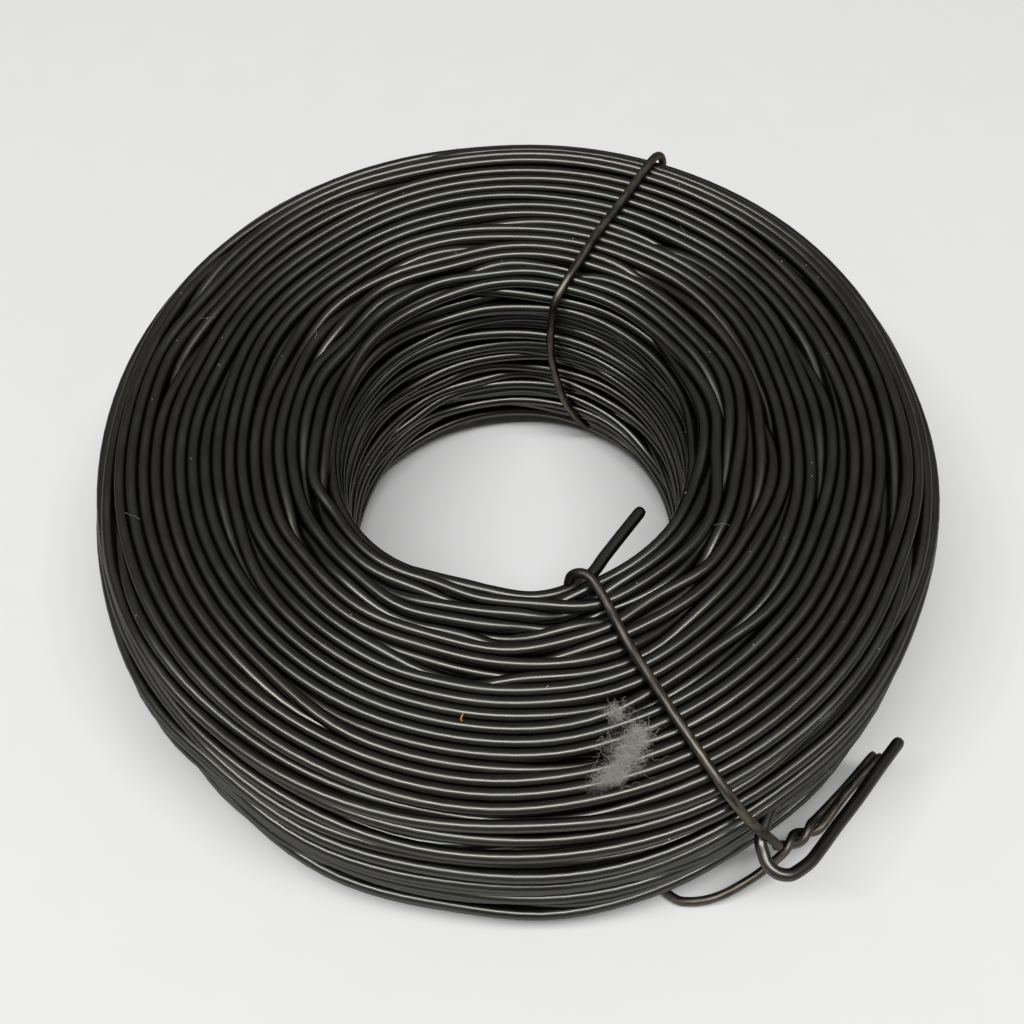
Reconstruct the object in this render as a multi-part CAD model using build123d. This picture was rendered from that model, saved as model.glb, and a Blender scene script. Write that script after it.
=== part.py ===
"""Coil of black annealed binding wire, lying flat on one end.

One long steel wire is wound in turns round an open bore and held by two thinner
ties. The wire's inner end stands free in the bore, and its outer end is a hooked
tail on the outside. Sizes are in millimetres, angles in degrees, +Z is up along
the bore, and the origin is on the bore's axis at the floor.
"""
import os

from build123d import *

# The wound coil
wire_diameter = 1.6
coil_outer_diameter = 114.0
bore_diameter = 46.6
coil_height = 36.0
outer_corner_radius = 7.8
bore_corner_radius = 3.0

# The turns that show as rings on both ends and the outer wall, three of them to a ring
turns_per_ring = 3
groove_depth = 0.8

# The flats that stand for round sections: of every wire, and of the corners of the coil
flat_count = 8
rim_flats = 2
shoulder_flats = 3

# The two tie wires, the room round them and their usual bend
tie_diameter = 1.2
tie_clearance = 0.15
floor_clearance = 0.05
channel_side_clearance = 0.2
tie_bend_radius = 1.8

# The front tie: where it lies on the coil, seen from above
front_top_azimuth = -65.0
front_bore_azimuth = -72.0
front_bottom_azimuth = -69.5
front_lower_azimuth = -62.0

# Its arch over the wire's inner end, and the slack run under its twist
front_arch_standoff = 1.2
front_bottom_standoff = 1.2
front_lower_standoff = 2.4
front_lower_height = 4.2
front_lower_bend_radius = 3.0

# The twist that closes the front tie
twist_azimuth = -55.6
twist_height = 8.0
twist_heading = 31.0
twist_pitch = 6.2
twist_turns = 1
twist_lead = 2.0
strand_clearance = 0.04

# The two ends past the twist
pigtail_lead = 1.2
pigtail_length = 13.9
pigtail_heading = 44.3
pigtail_drop = 1.0
pigtail_spacing = 1.35
pigtail_slant = 1.2

# The rear tie, a plain loop that is skewed round the coil
rear_bore_azimuth = 75.0
rear_low_azimuth = 58.0
rear_wall_azimuth = 65.0
rear_low_height = 9.0
rear_low_bend_radius = 3.6
rear_end_gap = 0.3

# The wire's inner end, which leaves the bore's upper rim
inner_root_azimuth = -88.0
inner_exit_azimuth = -68.5
inner_exit_depth = 1.6
inner_tip_azimuth = -34.2
inner_tip_standoff = 3.7
inner_tip_depth = 4.6
inner_bend_radius = 4.5

# The wire's outer end, a hook that stands off the outer wall
outer_root_azimuth = -76.0
outer_exit_azimuth = -62.6
outer_exit_depth = 13.5
hook_reach = 6.3
hook_width = 5.0
hook_depth = 15.4
hook_exit_bend_radius = 2.1
hook_near_bend_radius = 2.2
hook_far_bend_radius = 4.0
outer_tip_azimuth = -36.6
outer_tip_standoff = 4.3
outer_tip_depth = 21.0

wire_radius = wire_diameter / 2
tie_radius = tie_diameter / 2
coil_outer_radius = coil_outer_diameter / 2
bore_radius = bore_diameter / 2

# Where a tie's middle line runs, clear of the coil and of the floor
tie_wall_radius = coil_outer_radius + tie_clearance + tie_radius
tie_bore_radius = bore_radius - tie_clearance - tie_radius
tie_top_height = coil_height + tie_clearance + tie_radius
tie_floor_height = floor_clearance + tie_radius
tie_shoulder_radius = outer_corner_radius + tie_clearance + tie_radius
tie_rim_radius = bore_corner_radius + tie_clearance + tie_radius


def polar(azimuth, radius, height):
    """A point at an angle and distance from the bore's axis."""
    return Vector(radius, 0, height).rotate(Axis.Z, azimuth)


def heading(azimuth, drop=0.0):
    """A unit direction along an azimuth, which sinks by drop for each unit of run."""
    return (Vector(1, 0, 0).rotate(Axis.Z, azimuth) - Vector(0, 0, drop)).normalized()


def swept_wire(path, diameter):
    """A wire along a path."""
    section = Plane(origin=path @ 0, z_dir=path % 0) * RegularPolygon(diameter / 2, flat_count)
    return sweep(section, path=path)


def ringed_face(face, inward, standing=False):
    """The points between a face's two edges: a groove, then the crest of the next ring.

    A standing face has no groove at its middle, so it has a flat ring there.
    """
    rings = round(face.length / (turns_per_ring * wire_diameter))
    points = []
    for ring in range(rings):
        if not (standing and ring == rings // 2):
            points.append(face @ ((ring + 0.5) / rings) + inward * groove_depth)
        if ring < rings - 1:
            points.append(face @ ((ring + 1) / rings))
    return points


def end_points(height, side, standing):
    """One end in section, from the bore round both of its corners to the outer wall.

    The side is 1 for the upper end and -1 for the lower one.
    """
    rim_centre = (bore_radius + bore_corner_radius, height - side * bore_corner_radius)
    shoulder_centre = (coil_outer_radius - outer_corner_radius, height - side * outer_corner_radius)
    rim = CenterArc(rim_centre, bore_corner_radius, 180, -90 * side)
    shoulder = CenterArc(shoulder_centre, outer_corner_radius, 90 * side, -90 * side)
    return [
        *[rim @ (flat / rim_flats) for flat in range(rim_flats + 1)],
        *ringed_face(Line(rim @ 1, shoulder @ 0), Vector(0, -side, 0), standing),
        *[shoulder @ (flat / shoulder_flats) for flat in range(shoulder_flats + 1)],
    ]


def wound_body():
    """The turned body, ringed on both ends and its outer wall, with a plain bore."""
    top = end_points(coil_height, side=1, standing=False)
    bottom = end_points(0, side=-1, standing=True)
    outer_wall = ringed_face(Line(top[-1], bottom[-1]), Vector(-1, 0, 0))
    section = make_face(Polyline(*top, *outer_wall, *reversed(bottom), close=True))
    return revolve(Plane.XZ * section, axis=Axis.Z)


def tie_channel(run_start, run_end):
    """The channel that the bottom run of a tie presses into the turns."""
    run = run_end - run_start
    middle = (run_start + run_end) / 2
    width = tie_diameter + 2 * channel_side_clearance
    depth = tie_floor_height + tie_radius + tie_clearance
    floor_plane = Plane(origin=(middle.X, middle.Y, 0), x_dir=run, z_dir=(0, 0, 1))
    return floor_plane * Box(run.length, width, 2 * depth)


def inner_tail():
    """The wire's inner end: it follows the rim, then bends off into the open bore."""
    exit_height = coil_height - inner_exit_depth
    path = FilletPolyline(
        polar(inner_root_azimuth, bore_radius + wire_radius, exit_height),
        polar(inner_exit_azimuth, bore_radius - wire_radius / 2, exit_height),
        polar(inner_tip_azimuth, bore_radius - inner_tip_standoff, coil_height - inner_tip_depth),
        radius=inner_bend_radius,
    )
    return swept_wire(path, wire_diameter)


def outer_tail():
    """The wire's outer end: out from under the front tie, round a hook, along the wall."""
    exit_height = coil_height - outer_exit_depth
    leave = polar(outer_exit_azimuth, coil_outer_radius - wire_radius, exit_height)
    hook_near = Vector(leave.X, leave.Y - hook_reach, coil_height - hook_depth)
    path = FilletPolyline(
        polar(outer_root_azimuth, coil_outer_radius - wire_diameter, exit_height),
        leave,
        hook_near,
        hook_near + Vector(hook_width, 0, 0),
        polar(outer_tip_azimuth, coil_outer_radius + outer_tip_standoff, coil_height - outer_tip_depth),
        radius=[hook_exit_bend_radius, hook_near_bend_radius, hook_far_bend_radius],
    )
    return swept_wire(path, wire_diameter)


def front_bottom_run():
    """The ends of the front tie's run under the coil, from the bore to the outer wall."""
    return (
        polar(front_bore_azimuth, tie_bore_radius, tie_floor_height),
        polar(front_bottom_azimuth, tie_wall_radius + front_bottom_standoff, tie_floor_height),
    )


def rear_bottom_run():
    """The ends of the rear tie's run under the coil, from the bore to the outer wall."""
    return (
        polar(rear_low_azimuth, tie_bore_radius, tie_floor_height),
        polar(rear_wall_azimuth, tie_wall_radius, tie_floor_height),
    )


def front_tie():
    """The front tie: from its twist over the coil, through the bore and back underneath."""
    strand_offset = tie_radius + strand_clearance
    along = heading(twist_heading)
    twist_length = twist_pitch * twist_turns
    twist_start = polar(twist_azimuth, tie_wall_radius + 2 * strand_offset, twist_height)
    twist = Plane(origin=twist_start, x_dir=heading(twist_heading + 90), z_dir=along)
    upper = twist * Helix(twist_pitch, twist_length, strand_offset, lefthand=True)
    lower = twist * (Rot(0, 0, 180) * Helix(twist_pitch, twist_length, strand_offset, lefthand=True))

    loop = FilletPolyline(
        upper @ 0,
        (upper @ 0) - (upper % 0) * twist_lead,
        polar(front_top_azimuth, tie_wall_radius, tie_top_height),
        polar(front_bore_azimuth, tie_bore_radius - front_arch_standoff, tie_top_height),
        *front_bottom_run(),
        polar(front_lower_azimuth, tie_wall_radius + front_lower_standoff, front_lower_height),
        (lower @ 0) - (lower % 0) * twist_lead,
        lower @ 0,
        radius=[
            tie_bend_radius,
            tie_shoulder_radius,
            tie_bend_radius,
            tie_bend_radius,
            front_lower_bend_radius,
            tie_bend_radius,
            tie_bend_radius / 2,
        ],
    )

    tip = twist_start + along * twist_length
    tip += heading(pigtail_heading, pigtail_drop / pigtail_length) * pigtail_length
    apart = heading(pigtail_heading - 90, -pigtail_slant) * (pigtail_spacing / 2)
    ends = []
    for strand, end_tip in ((upper, tip - apart), (lower, tip + apart)):
        bend = (strand @ 1) + (strand % 1) * pigtail_lead
        ends.append(FilletPolyline(strand @ 1, bend, end_tip, radius=tie_bend_radius))
    path = Wire(Wire.combine([ends[0], upper, loop, lower, ends[1]])[0].edges())
    return swept_wire(path, tie_diameter)


def rear_tie():
    """The rear tie: a plain loop, its ends butted on the outer wall behind the coil."""
    butt = polar(rear_wall_azimuth, tie_wall_radius, coil_height / 2)
    half_gap = Vector(0, 0, rear_end_gap / 2)
    path = FilletPolyline(
        butt + half_gap,
        polar(rear_wall_azimuth, tie_wall_radius, tie_top_height),
        polar(rear_bore_azimuth, tie_bore_radius, tie_top_height),
        polar(rear_bore_azimuth, tie_bore_radius, rear_low_height),
        *rear_bottom_run(),
        butt - half_gap,
        radius=[
            tie_shoulder_radius,
            tie_rim_radius,
            rear_low_bend_radius,
            tie_bend_radius,
            tie_bend_radius,
        ],
    )
    return swept_wire(path, tie_diameter)


def wire_coil():
    """The whole wound wire: its turned body, less the tie channels, and both of its ends."""
    body = wound_body()
    for bottom_run in (front_bottom_run(), rear_bottom_run()):
        body -= tie_channel(*bottom_run)
    return body + inner_tail() + outer_tail()


pieces = {
    "wire_coil": wire_coil(),
    "front_tie_wire": front_tie(),
    "rear_tie_wire": rear_tie(),
}

os.makedirs("parts", exist_ok=True)
for name, piece in pieces.items():
    export_step(piece, f"parts/{name}.step")
    print(name, len(piece.solids()), round(piece.volume, 1), piece.is_valid)
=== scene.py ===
import math

import bpy
import numpy as np
from mathutils import Matrix, Vector


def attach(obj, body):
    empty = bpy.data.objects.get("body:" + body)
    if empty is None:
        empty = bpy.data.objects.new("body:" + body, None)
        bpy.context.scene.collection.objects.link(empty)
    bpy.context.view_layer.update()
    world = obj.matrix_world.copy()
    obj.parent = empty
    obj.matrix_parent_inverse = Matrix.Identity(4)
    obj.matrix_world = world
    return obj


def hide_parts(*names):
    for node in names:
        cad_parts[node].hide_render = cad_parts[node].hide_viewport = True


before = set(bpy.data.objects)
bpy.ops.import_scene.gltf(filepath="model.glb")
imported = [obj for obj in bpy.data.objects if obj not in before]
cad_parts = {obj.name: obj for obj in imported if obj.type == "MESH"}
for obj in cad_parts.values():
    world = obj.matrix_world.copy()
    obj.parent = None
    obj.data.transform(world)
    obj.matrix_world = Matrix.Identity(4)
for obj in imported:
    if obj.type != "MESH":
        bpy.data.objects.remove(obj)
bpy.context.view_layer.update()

# The wire's sizes and places are in millimetres, and times MM they are Blender's metres.
MM = 0.001

# The camera stands where the photograph was taken: close in front of the coil and high
# above it, looking down through the bore. The picture is 1024 pixels square.
picture_pixels = 1024
focal_pixels = 1292.7
aim_height = 18 * MM
camera_distance = 185.08 * MM
camera_elevation = math.radians(58.97)
camera_pan = math.radians(-0.143)
camera_tilt = math.radians(-0.625)
camera_roll = math.radians(1.477)

back = Vector((0, -math.cos(camera_elevation), math.sin(camera_elevation)))
level = Matrix(((1, 0, 0), back.cross((1, 0, 0)), back)).transposed()
off_centre = (
    Matrix.Rotation(-camera_pan, 3, "Y")
    @ Matrix.Rotation(camera_tilt, 3, "X")
    @ Matrix.Rotation(-camera_roll, 3, "Z")
)
camera_data = bpy.data.cameras.new("camera")
camera_data.sensor_width = 36
camera_data.lens = camera_data.sensor_width * focal_pixels / picture_pixels
camera = bpy.data.objects.new("camera", camera_data)
camera.matrix_world = (level @ off_centre).to_4x4()
camera.location = Vector((0, 0, aim_height)) + back * camera_distance
bpy.context.scene.collection.objects.link(camera)
bpy.context.scene.camera = camera


# The wound wire is one length of black annealed steel wire, laid round and round in
# layers on a spool and slid off it. Every turn lies where its neighbours let it, so the
# turns are worked out together: they push each other apart until they hardly overlap.
wire_diameter = 1.6
wire_radius = wire_diameter / 2
bore_radius = 23.3
halfway_radius = 40
outer_radius = 57.0
coil_height = 36.0
middle_height = coil_height / 2

# The corners of its section: the bore's upper rim, its lower rim, which stands open, and
# both rims of the outer wall
bore_corner = 3.0
bore_flare = 7.0
outer_corner = 7.8

# The spool's guide lays layers that cross, wider apart at the two walls. A turn is followed
# at so many stations, and its place at each of them is a radius and a height.
stations = 120
layer_pitch = 0.95
wall_layer_pitches = (1.45, 1.2)
turn_pitch = 2.9
turn_slip = 0.5

# It runs clockwise as seen from above, from the front of the bore. Each end of it is held,
# over so many stations, at the place where it leaves the coil.
start_azimuth = -88
inner_place = (24.2, 33.7)
inner_hold = 24
outer_place = (55.3, 21.6)
outer_hold = 34
hold_share = 0.5

# The last turn climbs the wall from this height, in about a third of its way round
last_turn_stations = stations - 10
last_turn_height = 4.5
last_turn_climb = 0.34

# How far the wall stands out of round: azimuth in degrees, millimetres outward
out_of_round = (
    (-180, 0.1), (-165, 0.2), (-155, 0.3), (-148, 0.85), (-141, 0.35), (-134, -0.55),
    (-126, -0.2), (-116, 0.1), (-100, -0.3), (-88, 0.3), (-78, 0.35), (-66, 0.1),
    (-56, -0.35), (-46, 0.1), (-38, 0.35), (-28, -0.3), (-15, -0.1), (0, -0.15),
    (10, -0.6), (22, -0.2), (40, 0.2), (60, -0.2), (78, -0.5), (94, -0.9),
    (110, -0.5), (125, 0.1), (145, 0.4), (160, 0.15), (170, -0.2), (180, 0.1),
)

# The bore's upper turns sag inward at the front and stand back at the left: millimetres
# inward, azimuth and reach in degrees. This fades out below them and deeper in the coil.
rim_sags = ((1.4, -107, 17), (-0.6, -150, 24))
sag_lowest = 28
sag_fade = 4
sag_reach = 4

# The two ties run under the coil, and the turns ride over them there: each run is given
# by where it passes under the bore's edge and under the outer wall. The lead starts it a
# little inside the bore, and is that distance times the run's length.
tie_runs_below = (((6.8, -20.9), (21.0, -55.2)), ((11.5, 18.3), (24.4, 52.3)))
tie_run_lead = 20
tie_lift = 1.45
tie_lift_reach = 3.5

# How the turns stray from their layers before they settle: over which share of a turn, and
# how far. The ones at the wall stray further in height.
strays = ((0.32, 0.75), (0.12, 0.4))
wall_stray = (0.45, 1.3)
wall_stray_radius = 50
wall_stray_fade = 4

# How they settle: they push apart where they overlap, the stiff wire evens out its bends,
# and for most of the rounds the outermost turns are eased towards the coil's two ends.
settling_rounds = 160
rounds_to_a_search = 10
neighbour_reach = 1.5 * wire_diameter
push_share = 0.9
stiffness = 0.09
easing_rounds = 0.7 * settling_rounds
easing_depth = 2.6
easing_push = (0, 0.02)
no_length = 1e-9


def eased(share):
    """A share from 0 to 1 that starts and ends gently."""
    return share * share * (3 - 2 * share)


def wander(count, reach, spread, rng):
    """Smooth random values, which change over about reach samples."""
    knots = rng.normal(scale=spread, size=int(count / reach) + 3)
    place = np.arange(count) / reach
    knot = place.astype(int)
    share = eased(place - knot)
    return knots[knot] * (1 - share) + knots[knot + 1] * share


def in_degrees(azimuth):
    """An azimuth in degrees, from -180 to 180."""
    return (np.degrees(azimuth) + 180) % 360 - 180


def rim_sag(azimuth, height):
    """How far the bore's upper turns stand inward of its round."""
    turned = in_degrees(azimuth)
    sag = sum(inward * np.exp(-((turned - middle) / reach) ** 2)
              for inward, middle, reach in rim_sags)
    return sag * np.clip((height - sag_lowest) / sag_fade, 0, 1)


def depth_in_coil(radius, height, azimuth):
    """How deep a point lies under the coil's outline, and the way out."""
    bulge = np.interp(in_degrees(azimuth), *np.transpose(out_of_round))
    radius = np.where(radius > halfway_radius, radius - bulge, radius + rim_sag(azimuth, height))
    half_width, half_height = (outer_radius - bore_radius) / 2, coil_height / 2
    across, up = radius - bore_radius - half_width, height - half_height
    corner = np.where(across > 0, outer_corner, np.where(up > 0, bore_corner, bore_flare))
    past_across = np.abs(across) - half_width + corner
    past_up = np.abs(up) - half_height + corner
    reach = np.hypot(np.maximum(past_across, 0), np.maximum(past_up, 0))
    depth = corner - reach - np.minimum(np.maximum(past_across, past_up), 0)
    round_corner = reach > no_length
    sideways = past_across > past_up
    reach = np.maximum(reach, no_length)
    out_across = np.where(round_corner, np.maximum(past_across, 0) / reach, sideways)
    out_up = np.where(round_corner, np.maximum(past_up, 0) / reach, ~sideways)
    return depth, np.stack([out_across * np.sign(across), out_up * np.sign(up)], -1)


def lift_over_ties(radius, azimuth):
    """How high a turn's underside rides over the ties' runs."""
    x, y = radius * np.cos(azimuth), radius * np.sin(azimuth)
    lift = np.zeros_like(radius)
    for (x0, y0), (x1, y1) in tie_runs_below:
        length = math.hypot(x1 - x0, y1 - y0)
        aside = ((x - x0) * (y1 - y0) - (y - y0) * (x1 - x0)) / length
        ahead = (x - x0) * (x1 - x0) + (y - y0) * (y1 - y0)
        lift += tie_lift * np.exp(-(aside / tie_lift_reach) ** 4) * (ahead > -tie_run_lead)
    return lift


def corner_inset(corner, past):
    """How far a corner's round draws a turn in, so far past where the round starts."""
    bend = corner - wire_radius
    return bend - math.sqrt(max(bend ** 2 - max(past, 0) ** 2, 0))


def laid_turns(rng):
    """The wire as the spool's guide lays it: layer on layer, down, up and down again."""
    inner_wall, outer_wall = bore_radius + wire_radius, outer_radius - wire_radius
    wall_width = sum(wall_layer_pitches)
    inner_middle, outer_middle = inner_wall + wall_width, outer_wall - wall_width
    middle_layers = round((outer_middle - inner_middle) / layer_pitch) + 1
    radii = [
        inner_wall, inner_wall + wall_layer_pitches[0],
        *np.linspace(inner_middle, outer_middle, middle_layers),
        outer_wall - wall_layer_pitches[0], outer_wall,
    ]
    path = []
    for layer, radius in enumerate(radii):
        past_outer = radius - outer_radius + outer_corner
        low = (wire_radius + corner_inset(bore_flare, bore_radius + bore_flare - radius)
               + corner_inset(outer_corner, past_outer))
        high = (coil_height - wire_radius
                - corner_inset(bore_corner, bore_radius + bore_corner - radius)
                - corner_inset(outer_corner, past_outer))
        turn_count = (high - low) / turn_pitch + rng.uniform(-turn_slip, turn_slip)
        height = np.linspace(high, low, round(turn_count * stations))
        if layer % 2:
            height = height[::-1]
        path.append(np.stack([np.full(len(height), radius), height], -1))
    path = np.concatenate(path)
    blur = np.hanning(stations // 2)
    blur /= blur.sum()
    margin = len(blur)
    padded = np.pad(path, ((margin, margin), (0, 0)), mode="edge")
    path = np.stack([
        np.convolve(padded[:, axis], blur, "same")[margin:-margin] for axis in (0, 1)
    ], -1)
    path = path[: len(path) // stations * stations]
    rise = eased(np.clip(np.linspace(0, 1, last_turn_stations) / last_turn_climb, 0, 1))
    last_radius, last_height = outer_place
    last = np.stack([
        np.full(last_turn_stations, last_radius),
        last_turn_height + (last_height - last_turn_height) * rise,
    ], -1)
    return np.concatenate([path, last])


def settled_turns(path, azimuth):
    """The turns after they have pushed each other apart inside the coil's outline."""
    count = len(path)
    inner_places = np.tile(inner_place, (inner_hold, 1))
    inner_places[:, 0] -= rim_sag(azimuth[:inner_hold], inner_place[1])
    holds = (
        (slice(0, inner_hold), inner_places, np.linspace(hold_share, 0, inner_hold)),
        (slice(-outer_hold, None), np.array(outer_place), np.linspace(0, hold_share, outer_hold)),
    )
    for settling in range(settling_rounds):
        if settling % rounds_to_a_search == 0:
            first, second = [], []
            for station in range(stations):
                here = path[station::stations]
                gap = np.hypot(*(here[:, None] - here[None]).transpose(2, 0, 1))
                one, other = np.nonzero(np.triu(gap < neighbour_reach, 1))
                first.append(one * stations + station)
                second.append(other * stations + station)
            first, second = np.concatenate(first), np.concatenate(second)
            lift = lift_over_ties(path[:, 0], azimuth)
        apart = path[first] - path[second]
        gap = np.hypot(apart[:, 0], apart[:, 1]) + no_length
        overlap = np.maximum(wire_diameter - gap, 0)
        push = apart * (overlap / gap)[:, None] / 2
        touches = np.bincount(first, overlap > 0, count) + np.bincount(second, overlap > 0, count)
        moved = np.stack([
            np.bincount(first, push[:, axis], count) - np.bincount(second, push[:, axis], count)
            for axis in (0, 1)
        ], -1)
        path = path + push_share * moved / np.maximum(touches / 2, 1)[:, None]
        bend = path[:-4] - 4 * path[1:-3] + 6 * path[2:-2] - 4 * path[3:-1] + path[4:]
        path[2:-2] -= stiffness * bend
        depth, outward = depth_in_coil(path[:, 0], path[:, 1], azimuth)
        if settling < easing_rounds:
            loose = (depth < easing_depth) & (depth > wire_radius)
            path += loose[:, None] * outward * easing_push
        path -= np.maximum(wire_radius - depth, 0)[:, None] * outward
        path[:, 1] = np.maximum(path[:, 1], lift + wire_radius)
        for end, place, share in holds:
            path[end] += share[:, None] * (place - path[end])
    return path


winding_rng = np.random.default_rng(7)
turns = laid_turns(winding_rng)
azimuth = math.radians(start_azimuth) - 2 * math.pi * np.arange(len(turns)) / stations
for axis in (0, 1):
    for reach, spread in strays:
        turns[:, axis] += wander(len(turns), reach * stations, spread, winding_rng)
reach, spread = wall_stray
at_wall = np.clip((turns[:, 0] - wall_stray_radius) / wall_stray_fade, 0, 1)
turns[:, 1] += wander(len(turns), reach * stations, spread, winding_rng) * at_wall
turns[:, 0] -= rim_sag(azimuth, turns[:, 1]) * np.exp((bore_radius - turns[:, 0]) / sag_reach)
turns = settled_turns(turns, azimuth)
turn_places = np.stack([
    turns[:, 0] * np.cos(azimuth), turns[:, 0] * np.sin(azimuth), turns[:, 1],
], -1)

# Only the turns near the outside show. Each stretch of them is a closed tube that starts
# and ends deep in the coil, in the dark body that stands for the turns further in. One of
# only a few stations doesn't come out far enough to show.
shown_depth = 4.4
shortest_stretch = 8
wire_sides = 12

# The tint strays along the wire: over how many turns, and how far
tint_stray = (1.2, 0.3)

# The turns of the bore's wall and of the outer wall lie at most so deep in the coil, and so
# far above or below its middle. The others belong to its upper or its lower end.
bore_group = (3.2, 14)
outer_group = (4.5, 12)


def tube(points, diameter, sides):
    """A closed round tube: its corners, their places on the straight wire, walls and caps.

    The diameter is one size, or one for each point.
    """
    points = np.asarray(points, float)
    radius = np.broadcast_to(np.asarray(diameter, float) / 2, len(points))
    along = np.gradient(points, axis=0)
    along /= np.linalg.norm(along, axis=1)[:, None]
    side = np.empty_like(points)
    upright = abs(along[0][2]) >= 0.9
    start = np.cross(along[0], (1, 0, 0) if upright else (0, 0, 1))
    side[0] = start / np.linalg.norm(start)
    for step in range(1, len(points)):
        carried = side[step - 1] - along[step] * np.dot(side[step - 1], along[step])
        side[step] = carried / np.linalg.norm(carried)
    over = np.cross(along, side)
    angle = np.arange(sides) * 2 * math.pi / sides
    ring = (np.cos(angle)[None, :, None] * side[:, None]
            + np.sin(angle)[None, :, None] * over[:, None])
    corners = (points[:, None] + ring * radius[:, None, None]).reshape(-1, 3)
    length = np.concatenate([[0], np.cumsum(np.linalg.norm(np.diff(points, axis=0), axis=1))])
    straight = np.stack([
        np.repeat(length, sides),
        np.outer(radius, np.cos(angle)).ravel(),
        np.outer(radius, np.sin(angle)).ravel(),
    ], -1)
    ring_start = np.arange(len(points) - 1)[:, None] * sides
    here = ring_start + np.arange(sides)[None]
    beside = ring_start + (np.arange(sides)[None] + 1) % sides
    walls = np.stack([here, beside, beside + sides, here + sides], -1).reshape(-1, 4)
    last = (len(points) - 1) * sides
    caps = [list(range(sides))[::-1], list(range(last, last + sides))]
    return corners, straight, walls, caps


def wire_piece(name, runs, diameter, sides, tints):
    """One piece of wire tubes, in metres, from runs of points in millimetres.

    Each run has a tint from 0 to 1, or one for each point.
    """
    corners, straight, tint, quads, caps, base = [], [], [], [], [], 0
    for run, run_tint in zip(runs, tints):
        run_corners, run_straight, walls, run_caps = tube(run, diameter, sides)
        corners.append(run_corners)
        straight.append(run_straight)
        tint.append(np.repeat(np.broadcast_to(run_tint, len(run)), sides))
        quads.append(walls + base)
        caps += [[corner + base for corner in cap] for cap in run_caps]
        base += len(run_corners)
    corners, quads = np.concatenate(corners), np.concatenate(quads)
    mesh = bpy.data.meshes.new(name)
    mesh.vertices.add(len(corners))
    mesh.vertices.foreach_set("co", (corners * MM).ravel())
    loops = np.concatenate([quads.ravel(), np.array(caps).ravel()])
    mesh.loops.add(len(loops))
    mesh.loops.foreach_set("vertex_index", loops)
    sizes = np.concatenate([np.full(len(quads), 4), np.full(len(caps), sides)])
    mesh.polygons.add(len(sizes))
    mesh.polygons.foreach_set("loop_start", np.concatenate([[0], np.cumsum(sizes)[:-1]]))
    mesh.polygons.foreach_set("loop_total", sizes)
    mesh.polygons.foreach_set("use_smooth", np.arange(len(sizes)) < len(quads))
    mesh.update(calc_edges=True)
    place = mesh.attributes.new("straight_wire", "FLOAT_VECTOR", "POINT")
    place.data.foreach_set("vector", (np.concatenate(straight) * MM).ravel().astype(np.float32))
    shade = mesh.attributes.new("turn_tint", "FLOAT", "POINT")
    shade.data.foreach_set("value", np.concatenate(tint).astype(np.float32))
    mesh.validate()
    piece = bpy.data.objects.new(name, mesh)
    bpy.context.scene.collection.objects.link(piece)
    return piece


depth, outward = depth_in_coil(turns[:, 0], turns[:, 1], azimuth)
shown = np.flatnonzero(depth < shown_depth)
stretches = np.split(shown, np.flatnonzero(np.diff(shown) > 1) + 1)
stretches = [run for run in stretches if len(run) > shortest_stretch]
reach, spread = tint_stray
turn_tint = np.clip(0.5 + wander(len(turns), reach * stations, spread, winding_rng), 0, 1)
groups = {"bore_turns": [], "outer_turns": [], "upper_turns": [], "lower_turns": []}
for run in stretches:
    mean_radius, mean_height = turns[run].mean(0)
    off_middle = abs(mean_height - middle_height)
    if mean_radius < bore_radius + bore_group[0] and off_middle < bore_group[1]:
        groups["bore_turns"].append(run)
    elif mean_radius > outer_radius - outer_group[0] and off_middle < outer_group[1]:
        groups["outer_turns"].append(run)
    elif mean_height > middle_height:
        groups["upper_turns"].append(run)
    else:
        groups["lower_turns"].append(run)


def linear(hex_colour):
    """A colour's linear values from its sRGB hex."""
    parts = [int(hex_colour[place:place + 2], 16) / 255 for place in (1, 3, 5)]
    parts = [part / 12.92 if part <= 0.04045 else ((part + 0.055) / 1.055) ** 2.4 for part in parts]
    return parts + [1]


def new_finish(name):
    """A material with no nodes yet, named for the finish."""
    material = bpy.data.materials.new(name)
    material.use_nodes = True
    material.node_tree.nodes.clear()
    return material


def add_node(material, kind, settings=(), inputs=()):
    """Adds a node with its settings; an input is a value, or the output that feeds it."""
    node = material.node_tree.nodes.new(kind)
    for name, value in dict(settings).items():
        setattr(node, name, value)
    for name, value in dict(inputs).items():
        if isinstance(value, bpy.types.NodeSocket):
            material.node_tree.links.new(value, node.inputs[name])
        else:
            node.inputs[name].default_value = value
    return node


# Black annealed steel wire: a thin dark scale with a film of oil on it, so each turn shows
# one fine bright line. The scale is mottled along the wire in patches about 5 mm long, and
# the die has left fine lines. Those are under 0.1 mm apart, and are drawn 0.3 mm apart.
# At a glancing angle the scale mirrors less than bare steel.
patch_length, patch_width = 5 * MM, 1.1 * MM
die_line_length, die_line_width = 14 * MM, 0.3 * MM
grey_oxide = linear("#494b47")
brown_oxide = linear("#4f4c47")
pale_scale = linear("#555650")
dull_edge = linear("#8c8c8c")
black_annealed = new_finish("black_annealed_steel")
tint = add_node(black_annealed, "ShaderNodeAttribute", {"attribute_name": "turn_tint"})
along_wire = add_node(black_annealed, "ShaderNodeAttribute", {"attribute_name": "straight_wire"})
patch_place = add_node(black_annealed, "ShaderNodeMapping", {}, {
    "Vector": along_wire.outputs["Vector"],
    "Scale": (1 / patch_length, 1 / patch_width, 1 / patch_width)})
patches = add_node(black_annealed, "ShaderNodeTexNoise", {}, {
    "Vector": patch_place.outputs["Vector"], "Scale": 1.0, "Detail": 3.0, "Roughness": 0.6})
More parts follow.
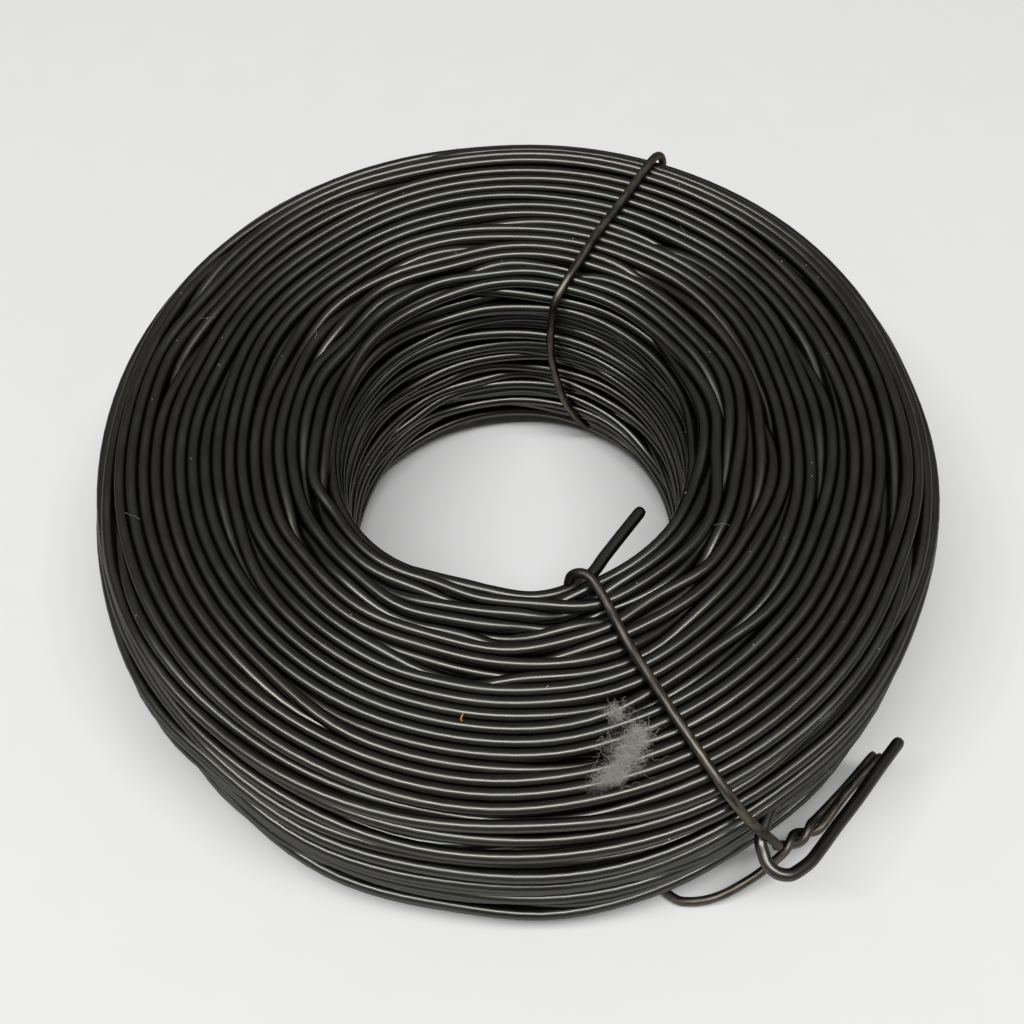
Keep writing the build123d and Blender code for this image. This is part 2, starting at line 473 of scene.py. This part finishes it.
line_place = add_node(black_annealed, "ShaderNodeMapping", {}, {
    "Vector": along_wire.outputs["Vector"],
    "Scale": (1 / die_line_length, 1 / die_line_width, 1 / die_line_width)})
die_lines = add_node(black_annealed, "ShaderNodeTexNoise", {}, {
    "Vector": line_place.outputs["Vector"], "Scale": 1.0, "Detail": 1.0})
oxide = add_node(black_annealed, "ShaderNodeMix", {"data_type": "RGBA"}, {
    "Factor": tint.outputs["Fac"], "A": grey_oxide, "B": brown_oxide})
scale_share = add_node(black_annealed, "ShaderNodeMapRange", {}, {
    "Value": patches.outputs["Fac"], "From Min": 0.35, "From Max": 0.7,
    "To Min": 0.0, "To Max": 0.45})
scaled = add_node(black_annealed, "ShaderNodeMix", {"data_type": "RGBA"}, {
    "Factor": scale_share.outputs["Result"], "A": oxide.outputs["Result"], "B": pale_scale})
dullness = add_node(black_annealed, "ShaderNodeMapRange", {}, {
    "Value": patches.outputs["Fac"], "From Min": 0.35, "From Max": 0.7,
    "To Min": 0.29, "To Max": 0.4})
line_bump = add_node(black_annealed, "ShaderNodeBump", {}, {
    "Height": die_lines.outputs["Fac"], "Strength": 0.06, "Distance": 0.02 * MM})
steel = add_node(black_annealed, "ShaderNodeBsdfPrincipled", {}, {
    "Base Color": scaled.outputs["Result"], "Metallic": 1.0,
    "Roughness": dullness.outputs["Result"], "Specular Tint": dull_edge,
    "Coat Weight": 0.4, "Coat Roughness": 0.22, "Normal": line_bump.outputs["Normal"]})
add_node(black_annealed, "ShaderNodeOutputMaterial", {}, {"Surface": steel.outputs["BSDF"]})

for name, runs in groups.items():
    piece = wire_piece(name, [turn_places[run] for run in runs], wire_diameter, wire_sides,
                       [turn_tint[run] for run in runs])
    piece.data.materials.append(black_annealed)
    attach(piece, "root")
    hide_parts("wire_coil")

# The turns further in don't show one by one. They are one dark ring, just under the turns
# that do, and it fills what would else be a view right through the coil. It lies a little
# deeper under the wall, where the turns are looser.
core_depth = 3.7
core_wall_depth = 1.0
core_steps = 96
corner_step = 15
even_tint = 0.5
core_corner = outer_corner - core_depth
core_corner_radius = outer_radius - core_wall_depth - outer_corner


def core_round(height, first_angle):
    """The quarter round of one of the core's outer corners, about its centre's height."""
    angles = np.radians(np.arange(first_angle, first_angle + 91, corner_step))
    return [(core_corner_radius + core_corner * math.cos(angle),
             height + core_corner * math.sin(angle)) for angle in angles]


core_section = [
    *core_round(coil_height - outer_corner, 0),
    (bore_radius + core_depth, coil_height - core_depth),
    (bore_radius + core_depth, core_depth),
    *core_round(outer_corner, -90),
]
core_corners, core_faces = [], []
for step in range(core_steps):
    angle = 2 * math.pi * step / core_steps
    for radius, height in core_section:
        core_corners.append((
            radius * math.cos(angle) * MM, radius * math.sin(angle) * MM, height * MM))
    here, there = step * len(core_section), (step + 1) % core_steps * len(core_section)
    for place in range(len(core_section)):
        after = (place + 1) % len(core_section)
        core_faces.append((here + after, here + place, there + place, there + after))
core_mesh = bpy.data.meshes.new("inner_turns")
core_mesh.from_pydata(core_corners, [], core_faces)
core_tint = core_mesh.attributes.new("turn_tint", "FLOAT", "POINT")
core_tint.data.foreach_set("value", np.full(len(core_corners), even_tint, np.float32))
core_mesh.materials.append(black_annealed)
inner_turns = bpy.data.objects.new("inner_turns", core_mesh)
bpy.context.scene.collection.objects.link(inner_turns)
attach(inner_turns, "root")
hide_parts("wire_coil")

# The wire's inner end was the first turn on the spool. It has sprung out of the bore's
# upper rim, and stands free in the bore, snipped off square.
inner_root = 12
end_sides = 20
bend_spacing = 0.4
snip_taper = (0.97, 0.82)


def smooth_line(points, spacing):
    """A smooth line through points, sampled at about that spacing."""
    points = np.asarray(points, float)
    points = np.concatenate([[2 * points[0] - points[1]], points, [2 * points[-1] - points[-2]]])
    line = []
    for before, here, there, beyond in zip(points, points[1:], points[2:], points[3:]):
        lead, span, tail = (
            np.linalg.norm(end - start) ** 0.5
            for start, end in ((before, here), (here, there), (there, beyond)))
        leave = ((here - before) / lead - (there - before) / (lead + span)
                 + (there - here) / span) * span
        arrive = ((there - here) / span - (beyond - here) / (span + tail)
                  + (beyond - there) / tail) * span
        steps = max(round(np.linalg.norm(there - here) / spacing), 1)
        share = (np.arange(steps) / steps)[:, None]
        line.append(here + leave * share
                    + (3 * (there - here) - 2 * leave - arrive) * share ** 2
                    + (2 * (here - there) + leave + arrive) * share ** 3)
    return np.concatenate(line + [points[-2:-1]])


def snipped(count, diameter, first=False):
    """A wire's diameter at each point, drawn in where its last end, or both, are snipped."""
    sizes = np.full(count, diameter)
    taper = diameter * np.array(snip_taper)
    sizes[-2:] = taper
    if first:
        sizes[:2] = taper[::-1]
    return sizes


inner_end_line = smooth_line([
    *turn_places[inner_root:0:-4], turn_places[0],
    (3.6, -23.6, 33.5), (6.4, -22.6, 33.2), (9.2, -20.5, 32.8), (11.3, -17.5, 32.4),
    (13.7, -14.2, 32.0), (16.4, -10.5, 31.5),
], bend_spacing)
inner_end = wire_piece("inner_end", [inner_end_line], snipped(len(inner_end_line), wire_diameter),
                       end_sides, [even_tint])
inner_end.data.materials.append(black_annealed)
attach(inner_end, "root")
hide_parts("wire_coil")

# The wire's outer end leaves the wall under the front tie. It is bent back round into a
# hook that stands off the coil, and it ends in a blunt snipped tip.
outer_root = 7
outer_end_line = smooth_line([
    *turn_places[-outer_root::2],
    (28.6, -51.2, 21.6), (28.8, -52.7, 21.2), (29.2, -54.0, 20.9), (30.3, -55.0, 20.7),
    (31.8, -55.2, 20.5), (33.2, -54.5, 20.2), (34.6, -53.5, 19.9), (36.1, -51.9, 19.4),
    (38.9, -48.7, 18.5), (42.1, -45.2, 17.5), (45.6, -41.1, 16.5), (49.4, -36.8, 15.1),
], bend_spacing)
# Its tint is the last turn's where it leaves, and turns brown along the hook.
outer_end_tint = np.clip(np.linspace(-0.1, 3, len(outer_end_line)), turn_tint[-outer_root], 1)
outer_end = wire_piece("outer_end", [outer_end_line], snipped(len(outer_end_line), wire_diameter),
                       end_sides, [outer_end_tint])
outer_end.data.materials.append(black_annealed)
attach(outer_end, "root")
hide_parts("wire_coil")

# The front tie is a thinner annealed wire, bent round the coil by hand: over the top, down
# the bore, back underneath, and twisted shut on the outside, where both ends are left long.
tie_diameter = 1.2
tie_sides = 16
tie_top_height = 36.75
tie_floor_height = 0.65

# The twist is left-handed, and runs level from where it starts, off the coil's wall.
twist_start = np.array((33.4, -48.7, 8.0))
twist_heading = math.radians(31)
twist_pitch = 6.2
twist_turns = 1.0
twist_points = 15
strand_offset = 0.62
up = np.array((0, 0, 1))
twist_along = np.array((math.cos(twist_heading), math.sin(twist_heading), 0))
twist_aside = np.array((math.sin(twist_heading), -math.cos(twist_heading), 0))


def strand(phase):
    """One strand's line through the twist."""
    share = np.linspace(0, 1, twist_points)
    angle = (phase + 2 * math.pi * twist_turns * share)[:, None]
    return (twist_start + twist_along * (twist_pitch * twist_turns * share)[:, None]
            + strand_offset * (np.cos(angle) * twist_aside + np.sin(angle) * up))


upper_strand, lower_strand = strand(math.pi), strand(0)
front_tie_line = smooth_line([
    # One long end, and the twist
    (48.3, -35.4, 6.4), (43.0, -40.7, 6.9), *upper_strand[::-1],
    # Up the wall and over the top
    (32.9, -48.7, 9.8), (32.4, -49.4, 12.6), (31.1, -50.2, 17.0), (29.4, -50.9, 22.0),
    (27.6, -51.6, 27.0), (25.9, -51.5, 30.6), (23.3, -49.9, 34.6), (20.1, -45.4, tie_top_height),
    (13.1, -32.0, tie_top_height), (10.4, -25.6, tie_top_height),
    # The arch over the wire's inner end, and down the bore
    (9.1, -23.1, 36.8), (8.3, -22.3, 36.7), (7.5, -22.0, 36.4), (6.8, -21.8, 35.5),
    (6.5, -21.6, 34.0), (6.4, -21.4, 30.0), (6.6, -21.0, 18.0), (6.7, -21.0, 5.0),
    (6.8, -22.0, 2.0),
    # Under the coil, and slack from there up to the twist
    (8.2, -26.2, tie_floor_height), (13.0, -37.2, tie_floor_height),
    (17.8, -50.4, tie_floor_height),
    (20.2, -53.1, 1.2), (21.9, -53.6, 1.9), (24.0, -53.6, 2.6), (26.2, -53.1, 3.3),
    (28.4, -52.2, 4.1), (30.6, -51.1, 5.0), (32.1, -50.2, 5.9),
    # The twist, and the other long end
    *lower_strand, (43.4, -41.2, 8.0), (48.9, -36.1, 7.5),
], bend_spacing)
front_tie_line[:, 2] = np.maximum(front_tie_line[:, 2], tie_floor_height)

# Annealed steel wire with a brown scale and no oil: duller than the coil, without its fine
# bright lines, and worn paler in patches about 3 mm long.
tie_patch_length, tie_patch_width = 3 * MM, 0.5 * MM
brown_scale = linear("#47433d")
worn_scale = linear("#7d766d")
tie_wire = new_finish("dull_annealed_steel")
along_tie = add_node(tie_wire, "ShaderNodeAttribute", {"attribute_name": "straight_wire"})
tie_place = add_node(tie_wire, "ShaderNodeMapping", {}, {
    "Vector": along_tie.outputs["Vector"],
    "Scale": (1 / tie_patch_length, 1 / tie_patch_width, 1 / tie_patch_width)})
tie_patches = add_node(tie_wire, "ShaderNodeTexNoise", {}, {
    "Vector": tie_place.outputs["Vector"], "Scale": 1.0, "Detail": 4.0, "Roughness": 0.7})
tie_share = add_node(tie_wire, "ShaderNodeMapRange", {}, {
    "Value": tie_patches.outputs["Fac"], "From Min": 0.35, "From Max": 0.65})
tie_colour = add_node(tie_wire, "ShaderNodeMix", {"data_type": "RGBA"}, {
    "Factor": tie_share.outputs["Result"], "A": brown_scale, "B": worn_scale})
tie_dullness = add_node(tie_wire, "ShaderNodeMapRange", {}, {
    "Value": tie_patches.outputs["Fac"], "From Min": 0.35, "From Max": 0.65,
    "To Min": 0.36, "To Max": 0.52})
tie_steel = add_node(tie_wire, "ShaderNodeBsdfPrincipled", {}, {
    "Base Color": tie_colour.outputs["Result"], "Metallic": 1.0,
    "Roughness": tie_dullness.outputs["Result"], "Specular Tint": dull_edge})
add_node(tie_wire, "ShaderNodeOutputMaterial", {}, {"Surface": tie_steel.outputs["BSDF"]})

front_tie = wire_piece("front_tie", [front_tie_line],
                       snipped(len(front_tie_line), tie_diameter, first=True),
                       tie_sides, [even_tint])
front_tie.data.materials.append(tie_wire)
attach(front_tie, "root")
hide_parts("front_tie_wire")

# The rear tie is the same thin annealed wire, bent round the coil in a plain loop that
# lies skewed, and its ends meet out of sight on the wall behind.
rear_tie_line = smooth_line([
    # Up the wall and over the top
    (24.4, 52.4, 18.2), (24.4, 52.4, 26.0), (24.1, 52.0, 31.5), (22.3, 48.1, 36.0),
    (19.4, 43.2, tie_top_height), (16.4, 38.3, tie_top_height), (13.2, 33.4, tie_top_height),
    # Down the bore
    (10.6, 28.7, 36.8), (8.0, 24.3, 36.3), (6.4, 22.0, 34.6), (5.9, 21.2, 31.0),
    (5.8, 21.1, 24.8), (6.8, 20.8, 17.8), (8.3, 20.9, 11.5), (10.1, 21.0, 7.2),
    (12.0, 21.9, 3.4), (13.6, 23.4, 1.1),
    # Under the coil, and up the wall to where it started
    (15.6, 28.0, tie_floor_height), (19.6, 39.0, tie_floor_height),
    (23.6, 50.2, tie_floor_height),
    (24.3, 52.0, 1.5), (24.4, 52.4, 4.0), (24.4, 52.4, 17.8),
], bend_spacing)
rear_tie_line[:, 2] = np.maximum(rear_tie_line[:, 2], tie_floor_height)
rear_tie = wire_piece("rear_tie", [rear_tie_line], tie_diameter, tie_sides, [even_tint])
rear_tie.data.materials.append(tie_wire)
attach(rear_tie, "root")
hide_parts("rear_tie_wire")

# A tuft of pale lint has caught on the turns in front, left of the tie: a loose knot of very
# fine curled fibres, thickest at its lower end. A real fibre is 0.02 mm thick, drawn 0.04.
lint_fibre = 0.04
lint_sides = 3
lint_height = 36.15
lint_thickness = 0.25
lint_curl = 0.7
tuft_along = (0.62, 0.30)
tuft_across = (-0.35, 0.75)
fibre_steps = 12
fibre_rise = 0.22
fibre_lengths = (0.5, 1.4)
lint_clouds = (
    # middle x and y, spread along the tuft and across it, fibres, length
    (10.9, -40.2, 0.9, 0.7, 150, 1.5),
    (13.3, -43.1, 1.0, 0.9, 260, 1.9),
    (12.0, -45.4, 1.3, 0.9, 340, 2.0),
    (10.1, -47.7, 1.6, 0.6, 380, 1.9),
    (11.6, -44.6, 2.3, 1.7, 110, 2.6),
)


def curled_fibre(middle, length, curl, rng, lowest=-100):
    """A fibre's line: it lies about level, keeps turning, and is folded up at the lowest."""
    turning = rng.uniform(0, 2 * math.pi) + np.cumsum(rng.normal(scale=curl, size=fibre_steps))
    rise = rng.normal(scale=fibre_rise, size=fibre_steps)
    move = np.stack([np.cos(turning), np.sin(turning), rise], -1)
    line = np.cumsum(move * length / fibre_steps, axis=0)
    line += np.array(middle) - line.mean(0)
    line[:, 2] = lowest + np.abs(line[:, 2] - lowest)
    return line


lint_rng = np.random.default_rng(11)
lint_lines = []
for x, y, along, across, count, length in lint_clouds:
    for place in lint_rng.normal(size=(count, 3)):
        middle = (x + along * place[0] * tuft_along[0] + across * place[1] * tuft_across[0],
                  y + along * place[0] * tuft_along[1] + across * place[1] * tuft_across[1],
                  lint_height + lint_thickness * abs(place[2]))
        fibre_length = length * lint_rng.uniform(*fibre_lengths)
        lint_lines.append(curled_fibre(middle, fibre_length, lint_curl, lint_rng, lint_height))
lint = wire_piece("lint", lint_lines, lint_fibre, lint_sides,
                  lint_rng.uniform(0, 1, len(lint_lines)))

# Cotton lint with house dust in it: matt, pale grey and half see-through against the dark
# wire. Each fibre has a tint of its own between the two greys.
shaded_lint = linear("#a5a29d")
pale_lint = linear("#dedad4")
lint_dust = new_finish("grey_lint")
lint_tint = add_node(lint_dust, "ShaderNodeAttribute", {"attribute_name": "turn_tint"})
lint_colour = add_node(lint_dust, "ShaderNodeMix", {"data_type": "RGBA"}, {
    "Factor": lint_tint.outputs["Fac"], "A": shaded_lint, "B": pale_lint})
lint_surface = add_node(lint_dust, "ShaderNodeBsdfPrincipled", {}, {
    "Base Color": lint_colour.outputs["Result"], "Roughness": 0.9,
    "Specular IOR Level": 0.1, "Alpha": 0.34})
add_node(lint_dust, "ShaderNodeOutputMaterial", {}, {"Surface": lint_surface.outputs["BSDF"]})
lint.data.materials.append(lint_dust)
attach(lint, "root")

# Specks of dust and a few short hairs lie over the coil, of the same stuff as the lint.
# They rest on the outermost turns, clear of the floor.
speck_count = 90
speck_diameter = 0.13
speck_sides = 5
speck_lengths = (0.16, 0.24, 0.5)
speck_shares = (0.6, 0.3, 0.1)
speck_curl = 0.4
speck_height = 0.05
hair_count = 14
hair_diameter = 0.04
hair_sides = 4
hair_lengths = (1.2, 3.2)
hair_curl = 0.16
hair_height = 0.12
outermost_depth = 1.15
lowest_dust = 3


def on_turn(sample, height):
    """A place so high on the outside of a turn."""
    across, up = outward[sample]
    out = np.array((across * math.cos(azimuth[sample]), across * math.sin(azimuth[sample]), up))
    return turn_places[sample] + out * (wire_radius + height)


speck_rng = np.random.default_rng(23)
outermost = np.flatnonzero((depth < outermost_depth) & (turns[:, 1] > lowest_dust))
speck_lines = []
for sample in speck_rng.choice(outermost, speck_count):
    length = speck_rng.choice(speck_lengths, p=speck_shares)
    speck_lines.append(curled_fibre(on_turn(sample, speck_height), length, speck_curl, speck_rng))
hair_lines = []
for sample in speck_rng.choice(outermost, hair_count):
    length = speck_rng.uniform(*hair_lengths)
    hair_lines.append(curled_fibre(on_turn(sample, hair_height), length, hair_curl, speck_rng))
dust_specks = wire_piece("dust_specks", speck_lines, speck_diameter, speck_sides,
                         speck_rng.uniform(0, 1, speck_count))
dust_hairs = wire_piece("dust_hairs", hair_lines, hair_diameter, hair_sides,
                        speck_rng.uniform(0, 1, hair_count))
for piece in (dust_specks, dust_hairs):
    piece.data.materials.append(lint_dust)
    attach(piece, "root")

# One orange fleck of chaff stands on the front turns, bent and under 1 mm long. It is dry
# and matt, with a grain of 0.3 mm that lets it run from brown to orange.
fleck_diameter = 0.22
fleck_sides = 8
fleck_spacing = 0.1
fleck_grain_size = 0.3 * MM
brown_husk = linear("#8a5a24")
orange_husk = linear("#c98a3c")
fleck_line = smooth_line([
    (-6.62, -39.95, 36.6), (-6.72, -40.25, 36.5), (-6.86, -40.5, 36.45), (-6.74, -40.85, 36.4),
], fleck_spacing)
fleck = wire_piece("orange_fleck", [fleck_line], fleck_diameter, fleck_sides, [even_tint])
chaff = new_finish("orange_chaff")
fleck_place = add_node(chaff, "ShaderNodeAttribute", {"attribute_name": "straight_wire"})
fleck_grain = add_node(chaff, "ShaderNodeTexNoise", {}, {
    "Vector": fleck_place.outputs["Vector"], "Scale": 1 / fleck_grain_size})
fleck_colour = add_node(chaff, "ShaderNodeMix", {"data_type": "RGBA"}, {
    "Factor": fleck_grain.outputs["Fac"], "A": brown_husk, "B": orange_husk})
fleck_surface = add_node(chaff, "ShaderNodeBsdfPrincipled", {}, {
    "Base Color": fleck_colour.outputs["Result"], "Roughness": 0.8})
add_node(chaff, "ShaderNodeOutputMaterial", {}, {"Surface": fleck_surface.outputs["BSDF"]})
fleck.data.materials.append(chaff)
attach(fleck, "root")

# The studio's floor is a wide sheet of pale paper. It is matt, so it takes the coil's soft
# shadow and shows no glare, and its pulp is cloudy in patches of about 8 mm.
floor_reach = 3
pulp_cloud = 8 * MM
paper_grey = linear("#e2e2e2")
paper_white = linear("#e5e5e5")
paper = new_finish("pale_paper")
paper_place = add_node(paper, "ShaderNodeTexCoord")
paper_cloud = add_node(paper, "ShaderNodeTexNoise", {}, {
    "Vector": paper_place.outputs["Object"], "Scale": 1 / pulp_cloud, "Detail": 4.0})
paper_colour = add_node(paper, "ShaderNodeMix", {"data_type": "RGBA"}, {
    "Factor": paper_cloud.outputs["Fac"], "A": paper_grey, "B": paper_white})
paper_surface = add_node(paper, "ShaderNodeBsdfPrincipled", {}, {
    "Base Color": paper_colour.outputs["Result"], "Roughness": 0.9, "Specular IOR Level": 0.1})
add_node(paper, "ShaderNodeOutputMaterial", {}, {"Surface": paper_surface.outputs["BSDF"]})
floor_mesh = bpy.data.meshes.new("floor")
floor_mesh.from_pydata([
    (-floor_reach, -floor_reach, 0), (floor_reach, -floor_reach, 0),
    (floor_reach, floor_reach, 0), (-floor_reach, floor_reach, 0),
], [], [(0, 1, 2, 3)])
floor_mesh.materials.append(paper)
floor = bpy.data.objects.new("floor", floor_mesh)
bpy.context.scene.collection.objects.link(floor)

# The light is one long soft strip lamp, which hangs across the coil and draws a fine bright
# line along each turn, in a room of plain middle grey.
strip = bpy.data.lights.new("strip_lamp", "AREA")
strip.shape = "RECTANGLE"
strip.size = 1.5
strip.size_y = 0.22
strip.energy = 18.6
strip_lamp = bpy.data.objects.new("strip_lamp", strip)
strip_lamp.location = (-0.1, -0.25, 1.2)
strip_lamp.rotation_euler = (math.radians(-12), 0, 0)
bpy.context.scene.collection.objects.link(strip_lamp)
studio = bpy.data.worlds.new("studio")
studio.use_nodes = True
studio.node_tree.nodes["Background"].inputs["Color"].default_value = linear("#767573")
studio.node_tree.nodes["Background"].inputs["Strength"].default_value = 1.0
bpy.context.scene.world = studio
bpy.context.scene.view_settings.view_transform = "Standard"
